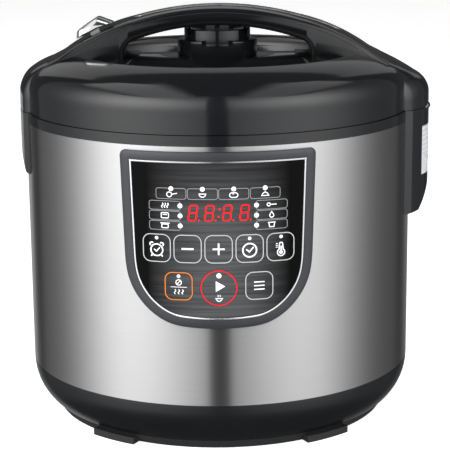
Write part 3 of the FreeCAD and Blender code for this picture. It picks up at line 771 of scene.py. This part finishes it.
def handle_shell():
    bm = bmesh.new()
    stations = {round(x, 3) for x, z in handle_arch + band_arch} | {-72.6, 72.6}
    rows = []
    for x in sorted(stations):
        half = handle_half(x)
        top = height_at(handle_arch, x)
        low = height_at(band_arch, x) if abs(x) <= band_half else leg_heights[0]
        shoulder = half - 1.6
        edge = top - crown(shoulder, half)
        front = [(-half + 0.9, low), (-half + 0.25, low + 0.25), (-half, low + 0.9), (-half, edge - 1.9),
                 (-half + 0.12, edge - 1.2), (-half + 0.5, edge - 0.6), (-half + 1.0, edge - 0.2)]
        ys = [-shoulder + 2 * shoulder * k / 16 for k in range(17)]
        over = [(y, top - crown(y, half)) for y in ys]
        back = [(-y, z) for y, z in reversed(front)]
        rows.append([(x, y, z) for y, z in front + over + back])
    capped_skin(bm, rows)
    thing = add_object("handle_shell", bm, 24.0)
    thing.data.materials.append(charcoal)
    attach(thing, "lid")
    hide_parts("handle_upper")


def handle_crease():
    """The joint line under the handle's shoulder, front and back: a thin strip whose black is painted shade
    in its groove.
    """
    groove = ((0.03, 0.22), (0.03, -0.22), (-0.4, -0.22), (-0.4, 0.22))
    for name, side in (("handle_crease_front", -1), ("handle_crease_back", 1)):
        bm = bmesh.new()
        rows = []
        for k in range(81):
            x = -112.0 + 224.0 * k / 80
            half = handle_half(x)
            z = height_at(handle_arch, x) - crown(half - 1.6, half) - 3.0 - 1.4 * (abs(x) / 112.0) ** 2
            rows.append([(x, side * (half + d), z + h) for d, h in groove])
        grid = skin(bm, rows, close_u=True)
        bm.faces.new(grid[0])
        bm.faces.new(grid[-1])
        thing = add_object(name, bm)
        thing.data.materials.append(groove_painted_shade)
        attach(thing, "lid")


def handle_band():
    """The black inner band that lines the finger opening and runs down both legs."""
    inner = [(-69.5, z) for z in leg_heights]
    inner += three_point_arc((-69.5, 270.0), (-66.5, 277.4), (-59.0, 281.5), 10)
    inner += three_point_arc((-59.0, 281.5), (0.0, 291.0), (59.0, 281.5), 40)[1:]
    inner += three_point_arc((59.0, 281.5), (66.5, 277.4), (69.5, 270.0), 10)[1:]
    inner += [(69.5, z) for z in reversed(leg_heights)]
    outer = [(-band_half, z) for z in leg_heights] + band_arch
    outer += [(band_half, z) for z in reversed(leg_heights)]
    bm = bmesh.new()
    rows = []
    for a, b in zip(inner, outer):
        half = handle_half(a[0]) - 0.8
        section = ((1.0, -half), (0.45, -half), (0.15, -half + 0.35), (0.0, -half + 1.2))
        front = [(lerp(a, b, t), y) for t, y in section]
        back = [(p, -y) for p, y in reversed(front)]
        rows.append([(p[0], y, p[1]) for p, y in front + back])
    capped_skin(bm, rows)
    thing = add_object("handle_band", bm, 40.0)
    thing.data.materials.append(black_satin)
    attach(thing, "lid")
    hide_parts("handle_lower")


def handle_inlay():
    """The bright strip let into the arch's top, bowed to the crown."""
    left, right = -62.0, 93.0
    bm = bmesh.new()
    rows = []
    for k in range(97):
        x = left + (right - left) * k / 96
        top = height_at(handle_arch, x)
        half = handle_half(x)
        end = min(x - left, right - x)
        wide = 8.0 * math.sqrt(min(1.0, (end + 0.8) / 5.0))
        ys = [-wide + 2 * wide * j / 8 for j in range(9)]
        over = [(x, y, top - crown(y, half) + 0.22 - 0.12 * (abs(y) / wide) ** 6) for y in ys]
        under = [(x, y, top - crown(y, half) - 0.6) for y in (wide, -wide)]
        rows.append(over + under)
    grid = skin(bm, rows, close_u=True)
    bm.faces.new(grid[0])
    bm.faces.new(grid[-1])
    thing = add_object("handle_inlay", bm)
    thing.data.materials.append(silver)
    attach(thing, "lid")
    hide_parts("handle_strip")


def lever():
    """The chrome release lever: a tent with bevelled ends and a hollow left for its arm."""
    outline = [(-104.2, 281.6), (-103.9, 286.4)]
    outline += three_point_arc((-103.4, 287.2), (-97.4, 291.6), (-89.2, 296.9), 8)
    outline += [(-88.0, 297.3), (-86.8, 297.0), (-77.6, 293.6), (-77.2, 293.2)]
    outline += [(-78.6, 292.2), (-87.0, 289.6), (-96.0, 284.9)]
    ends = ((-23.4, 0.62), (-22.9, 0.80), (-20.6, 0.97), (-19.8, 1.0))
    bevel = ends + ((-6.2, 1.0), (-5.4, 0.97), (-3.1, 0.80), (-2.6, 0.62))
    mx = sum(p[0] for p in outline) / len(outline)
    mz = sum(p[1] for p in outline) / len(outline)
    bm = bmesh.new()
    rows = []
    for y, size in bevel:
        rows.append([(mx + (x - mx) * size, y, mz + (z - mz) * size) for x, z in outline])
    capped_skin(bm, rows)
    thing = add_object("lever_chrome", bm, 18.0)
    thing.data.materials.append(chrome)
    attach(thing, "lock")
    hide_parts("lock_lever")


saddle_half = three_point_arc((54.0, 249.5), (36.0, 256.0), (23.0, 265.6), 10)
saddle_half += three_point_arc((23.0, 265.6), (0.0, 268.3), (-23.0, 265.6), 12)[1:]
saddle_half = list(reversed([p for p in saddle_half if p[0] >= -0.01]))


def saddle_z(y):
    return height_at(saddle_half, abs(y))


def leg_pads():
    """The dark flared feet that run from the handle's legs over the saddle."""
    half = 34.0
    for name, side in (("leg_pad_left", -1), ("leg_pad_right", 1)):
        bm = bmesh.new()
        rows = []
        for k in range(33):
            y = half * (k / 16 - 1.0)
            t = abs(y) / half
            tip = 58.0 + 20.0 * t ** 3.2
            thick = 1.2 * (1.0 - 0.5 * t ** 4)
            top = saddle_z(y) + thick
            low = saddle_z(y) - 1.0
            section = (
                (92.0, low), (92.0, top), (tip + 1.4, top),
                (tip + 0.5, top - 0.25), (tip, top - 0.9), (tip, low),
            )
            rows.append([(side * x, y, z) for x, z in section])
        capped_skin(bm, rows)
        thing = add_object(name, bm, 40.0)
        thing.data.materials.append(black_satin)
        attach(thing, "lid")
        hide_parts("handle_pads")


def valve_shade_eye():
    """Painted shade: a dark satin eye-shaped sheet on the saddle beside the valve, one corner on each side,
    standing in for the shade of a shallow recess round the valve.
    """
    near = 29.5
    for name, side in (("valve_shade_eye_left", -1), ("valve_shade_eye_right", 1)):
        bm = bmesh.new()
        rows = []
        for k in range(25):
            a = math.radians(-37.0 + 74.0 * k / 24)
            far = 1.0 / math.sqrt((math.cos(a) / 45.0) ** 2 + (math.sin(a) / 25.0) ** 2)
            far = max(far, 29.9)
            row = []
            for r, lift in ((near, -0.7), (near, 0.12), (0.5 * (near + far), 0.12), (far, 0.12), (far, -0.7)):
                y = r * math.sin(a)
                row.append((side * r * math.cos(a), y, saddle_z(y) + lift))
            rows.append(row)
        capped_skin(bm, rows)
        thing = add_object(name, bm)
        thing.data.materials.append(black_satin)
        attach(thing, "lid")


# The shoulders: their underside, their inner edge, and the right one's notch over the hinge pin.
trim_bottom = 229.6
trim_inner = 125.3
notch_half = 20.0
notch_edge = 152.6


def side_trim(name, node, side, profile, plan):
    """A shoulder piece beside the handle: its side profile carried across the lid, crowned and rounded
    at both edges."""
    half = plan[-1][0]
    bm = bmesh.new()
    rows = []
    for k in range(41):
        v = math.sin(math.radians(-90.0 + 180.0 * k / 40))
        y = half * v
        reach = height_at(plan, abs(y))
        round_off = 1.0 - math.sqrt(max(0.0, 1.0 - abs(v) ** 9))
        low = trim_bottom
        if side > 0 and abs(y) < notch_half:
            low = 231.3 if abs(y) < 4.5 else 232.65
        outer = []
        for x, z in profile:
            share = smooth_step(x, trim_inner, 131.0)
            down = (2.0 * abs(v) ** 2.5 + 2.5 * round_off) * smooth_step(z, 231.0, 240.0)
            px = x - (profile[0][0] - reach) * smooth_step(x, 120.0, profile[0][0]) - 1.2 * round_off * share
            outer.append((side * px, y, max(z - down, low)))
        root = 136.0 if side < 0 else 133.6
        inner = [(side * trim_inner, y, 252.0), (side * root, y, 240.0), (side * root, y, trim_bottom)]
        if low > trim_bottom:
            under = [(side * notch_edge, y, trim_bottom), (side * (notch_edge + 0.3), y, low)]
        else:
            width = outer[0][0] - side * root
            under = [(side * root + width * t, y, trim_bottom) for t in (0.4, 0.8)]
        rows.append(outer + inner + under)
    capped_skin(bm, rows)
    thing = add_object(name, bm, 32.0)
    thing.data.materials.append(charcoal)
    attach(thing, "lid")
    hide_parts(node)


left_profile = [(149.4, trim_bottom), (149.4, 236.0)]
left_profile += three_point_arc((149.3, 241.0), (147.2, 251.3), (140.5, 259.3), 14)
left_profile += three_point_arc((140.5, 259.3), (133.0, 263.5), (trim_inner, 266.2), 8)[1:]
right_profile = [(159.4, trim_bottom), (159.4, 234.0)]
right_profile += three_point_arc((159.3, 238.0), (157.0, 247.2), (150.5, 252.9), 14)
right_profile += three_point_arc((150.5, 252.9), (138.0, 260.3), (trim_inner, 266.2), 10)[1:]
left_plan = [(0.0, 149.4), (12.0, 148.7), (24.0, 146.6), (34.6, 143.6), (37.7, 140.2)]
right_plan = [(0.0, 159.4), (9.0, 159.1), (16.5, 158.3), (29.0, 153.6), (37.0, 148.6), (43.0, 143.3)]
right_plan += [(45.9, 138.4)]
side_trim("left_shoulder", "left_trim", -1, left_profile, left_plan)
side_trim("right_shoulder", "right_trim", 1, right_profile, right_plan)


def lid_knuckle():
    """The lid's middle hinge barrel, bored for the pin."""
    pin_x = 156.5
    pin_z = 229.2
    section = ((-7.6, 1.62), (-7.6, 2.8), (-7.4, 3.0), (7.4, 3.0), (7.6, 2.8), (7.6, 1.62))
    bm = bmesh.new()
    rows = [[(x, y, z) for x, z in circle(pin_x, pin_z, r, 40)] for y, r in section]
    skin(bm, rows, close_u=True, close_v=True)
    thing = add_object("lid_knuckle", bm)
    thing.data.materials.append(charcoal)
    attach(thing, "lid")


lid_knuckle()
# Painted shade: near-black for the shade inside the handle's joint groove.
groove_painted_shade = plastic("groove_painted_shade", (0.002, 0.002, 0.002), 0.6, 0.1, 900.0)
handle_shell()
handle_crease()
handle_band()
handle_inlay()
lever()
leg_pads()
# Painted shade beside the valve.
valve_shade_eye()


# Studio: camera, floor and lights

def look_camera():
    data = bpy.data.cameras.new("camera")
    data.lens = 127.3
    data.sensor_width = 36.0
    camera = bpy.data.objects.new("camera", data)
    camera.location = (0.0045, -1.2, 0.4123)
    pitch = math.radians(90.0 - 13.04)
    roll = math.radians(-0.54)
    camera.rotation_euler = (Matrix.Rotation(pitch, 3, "X") @ Matrix.Rotation(roll, 3, "Z")).to_euler()
    bpy.context.scene.collection.objects.link(camera)
    bpy.context.scene.camera = camera


def softbox(name, side, peak, hot_azimuth, inner, outer):
    """A tall curved diffuser beside the camera, brightest at its hot spot and falling off over the
    inner and outer angles. side is -1 left, 1 right."""
    bm = bmesh.new()
    reach = 2400.0
    rows = []
    for i in range(31):
        a = math.radians(6.0 + 124.0 * i / 30)
        rows.append([
            (side * reach * math.sin(a), -reach * math.cos(a), z)
            for z in [-1600.0 + 5400.0 * k / 20 for k in range(21)]
        ])
    skin(bm, rows)
    panel = add_object(name, bm)
    p = Paint(name + "_paint", (0.0, 0.0, 0.0), 1.0)
    parts = p.axes()
    sideways = p.math("MULTIPLY", parts["X"], side)
    azimuth = p.math("ARCTAN2", sideways, p.math("MULTIPLY", parts["Y"], -1.0))
    away = p.math("SUBTRACT", azimuth, math.radians(hot_azimuth))
    widening = p.math("MULTIPLY", p.math("LESS_THAN", away, 0.0), math.radians(inner - outer))
    off = p.math("DIVIDE", away, p.math("ADD", widening, math.radians(outer)))
    across = p.math("EXPONENT", p.math("MULTIPLY", p.math("MULTIPLY", off, off), -1.0))
    rise = p.math("DIVIDE", p.math("SUBTRACT", parts["Z"], 1.25), 1.25)
    upright = p.math("EXPONENT", p.math("MULTIPLY", p.math("MULTIPLY", rise, rise), -1.0))
    glow = p.math("MULTIPLY", across, p.math("ADD", p.math("MULTIPLY", upright, 0.8), 0.2))
    shine = p.math("MULTIPLY", p.math("ADD", glow, 0.04), peak)
    p.shader.inputs["Emission Color"].default_value = (1.0, 1.0, 1.0, 1.0)
    p.link(shine, p.shader.inputs["Emission Strength"])
    panel.data.materials.append(p.material)
    panel.visible_camera = False


def ceiling_box(name, side, strength):
    """A level diffuser overhead, beside the middle so that the middle stays dark, fading to its edges."""
    bm = bmesh.new()
    skin(bm, [[(side * x, y, 2400.0) for y in range(-1700, 1301, 300)] for x in range(420, 2221, 150)])
    panel = add_object(name, bm)
    p = Paint(name + "_paint", (0.0, 0.0, 0.0), 1.0)
    parts = p.axes()
    beside = p.math("MULTIPLY", parts["X"], side)
    fade = p.math("MULTIPLY", p.remap(beside, 0.42, 0.7, 0.1, 1.0), p.remap(beside, 1.6, 2.2, 1.0, 0.2))
    p.shader.inputs["Emission Color"].default_value = (1.0, 1.0, 1.0, 1.0)
    p.link(p.math("MULTIPLY", fade, strength), p.shader.inputs["Emission Strength"])
    panel.data.materials.append(p.material)
    panel.visible_camera = False


def back_glow():
    """A white board high behind the object that lights its upper faces, and one below the floor's
    level that lights its lower edges."""
    bm = bmesh.new()
    across = range(-1500, 1501, 150)
    skin(bm, [[(x, 2600.0 - 0.00012 * x * x, z) for z in (900.0, 1700.0, 2500.0)] for x in across])
    board = add_object("back_glow", bm)
    p = Paint("back_glow_paint", (0.0, 0.0, 0.0), 1.0)
    parts = p.axes()
    p.shader.inputs["Emission Color"].default_value = (1.0, 1.0, 1.0, 1.0)
    p.link(p.remap(parts["X"], -1.2, 1.2, 0.42, 0.34), p.shader.inputs["Emission Strength"])
    board.data.materials.append(p.material)
    board.visible_camera = False
    bm = bmesh.new()
    skin(bm, [[(x, 2400.0, z) for z in (-2600.0, -60.0)] for x in across])
    sweep_board = add_object("edge_glow", bm)
    p = Paint("edge_glow_paint", (0.0, 0.0, 0.0), 1.0)
    parts = p.axes()
    p.shader.inputs["Emission Color"].default_value = (1.0, 1.0, 1.0, 1.0)
    p.link(p.remap(parts["X"], -1.0, 1.0, 0.55, 0.25), p.shader.inputs["Emission Strength"])
    sweep_board.data.materials.append(p.material)
    sweep_board.visible_camera = False


def studio():
    bm = bmesh.new()
    size = 6000.0
    skin(bm, [[(-size, -size, -0.2), (size, -size, -0.2)], [(-size, size, -0.2), (size, size, -0.2)]])
    floor = add_object("floor", bm)
    p = Paint("floor_paint", (0.86, 0.86, 0.86), 0.7, Emission_Strength=0.78)
    p.shader.inputs["Emission Color"].default_value = (1.0, 1.0, 1.0, 1.0)
    spots = p.noise(p.object_place(), 3.0, 3.0)
    p.link(p.remap(spots, 0.3, 0.7, 0.65, 0.75), p.shader.inputs["Roughness"])
    floor.data.materials.append(p.material)
    floor.visible_glossy = False
    softbox("softbox_left", -1, 4.1, 53.0, 46.0, 34.0)
    softbox("softbox_right", 1, 3.1, 50.0, 46.0, 33.0)
    ceiling_box("ceiling_left", -1, 1.3)
    ceiling_box("ceiling_right", 1, 0.95)
    back_glow()
    world = bpy.data.worlds.new("world")
    world.use_nodes = True
    background = world.node_tree.nodes["Background"]
    background.inputs["Color"].default_value = (1.0, 1.0, 1.0, 1.0)
    background.inputs["Strength"].default_value = 0.06
    bpy.context.scene.world = world


look_camera()
studio()
bpy.context.scene.view_settings.view_transform = "Standard"
